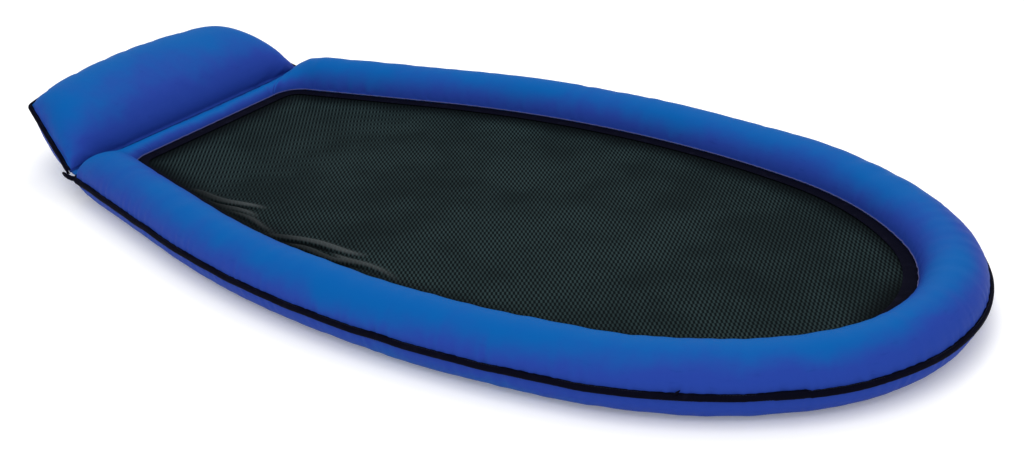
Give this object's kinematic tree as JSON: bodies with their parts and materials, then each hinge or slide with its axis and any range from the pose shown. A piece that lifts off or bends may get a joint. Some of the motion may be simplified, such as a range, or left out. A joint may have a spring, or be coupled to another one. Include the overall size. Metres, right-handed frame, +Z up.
{
  "type": "inflatable pool float",
  "caption": "Inflatable pool lounge: a bullet-shaped blue air ring with a dark bound edge and a mesh floor, and a tilted air pillow on its thin head bar.",
  "frame": {"origin": "on the ground plane, under the centre of the whole float's plan box", "axes": "+X from the head pillow to the rounded foot, +Y to the side that carries the ring valve, +Z up"},
  "size_m": [1.7776, 0.9396, 0.1683],
  "materials": {
    "cover_fabric": "satin coated woven fabric, deep blue",
    "binding_fabric": "ribbed binding tape, near black",
    "mesh_fabric": "open knitted mesh, dark grey-green",
    "bladder_film": "clear film, hidden",
    "hoop_steel": "bright spring wire, hidden",
    "valve_vinyl": "soft moulded vinyl, dark"
  },
  "bodies": {
    "ring": {"ring_top_cover": "cover_fabric", "ring_bottom_cover": "cover_fabric", "ring_bladder": "bladder_film", "ring_binding": "binding_fabric", "spring_hoop": "hoop_steel", "mesh_panel": "mesh_fabric", "mesh_border_tape": "binding_fabric", "head_web": "cover_fabric", "ring_valve_base": "valve_vinyl"},
    "pillow": {"pillow_top_cover": "cover_fabric", "pillow_bottom_cover": "cover_fabric", "pillow_bladder": "bladder_film", "pillow_binding": "binding_fabric", "pillow_valve_base": "valve_vinyl"},
    "ring_valve_stem": {"ring_valve_stem": "valve_vinyl", "ring_valve_strap": "valve_vinyl"},
    "ring_valve_plug": {"ring_valve_plug": "valve_vinyl"},
    "ring_valve_flap": {"ring_valve_flap": "valve_vinyl"},
    "pillow_valve_stem": {"pillow_valve_stem": "valve_vinyl", "pillow_valve_strap": "valve_vinyl"},
    "pillow_valve_plug": {"pillow_valve_plug": "valve_vinyl"},
    "pillow_valve_flap": {"pillow_valve_flap": "valve_vinyl"}
  },
  "joints": [
    {"name": "pillow_fold", "type": "hinge", "parent": "ring", "child": "pillow", "pos_m": [-0.67811, 0, 0.05537], "axis": [0, 1, 0], "range_deg": [-15, 35], "stiffness_Nm_per_rad": 12, "deforming": ["head_web"]},
    {"name": "ring_stem_slide", "type": "slide", "parent": "ring", "child": "ring_valve_stem", "axis": [0, 0.766, -0.6428], "range_m": [0, 0.012]},
    {"name": "ring_plug_pull", "type": "slide", "parent": "ring_valve_stem", "child": "ring_valve_plug", "axis": [0, 0.766, -0.6428], "range_m": [0, 0.01], "deforming": ["ring_valve_strap"]},
    {"name": "ring_flap_hinge", "type": "hinge", "parent": "ring_valve_stem", "child": "ring_valve_flap", "pos_m": [0.10982, 0.4312, 0.04168], "axis": [-1, 0, 0], "range_deg": [0, 50], "stiffness_Nm_per_rad": 0.0002},
    {"name": "pillow_stem_slide", "type": "slide", "parent": "pillow", "child": "pillow_valve_stem", "axis": [-0.6113, 0, -0.7914], "range_m": [0, 0.012]},
    {"name": "pillow_plug_pull", "type": "slide", "parent": "pillow_valve_stem", "child": "pillow_valve_plug", "axis": [-0.6113, 0, -0.7914], "range_m": [0, 0.01], "deforming": ["pillow_valve_strap"]},
    {"name": "pillow_flap_hinge", "type": "hinge", "parent": "pillow_valve_stem", "child": "pillow_valve_flap", "pos_m": [-0.83316, 0, 0.09375], "axis": [0, -1, 0], "range_deg": [0, 50], "stiffness_Nm_per_rad": 0.0002}
  ]
}
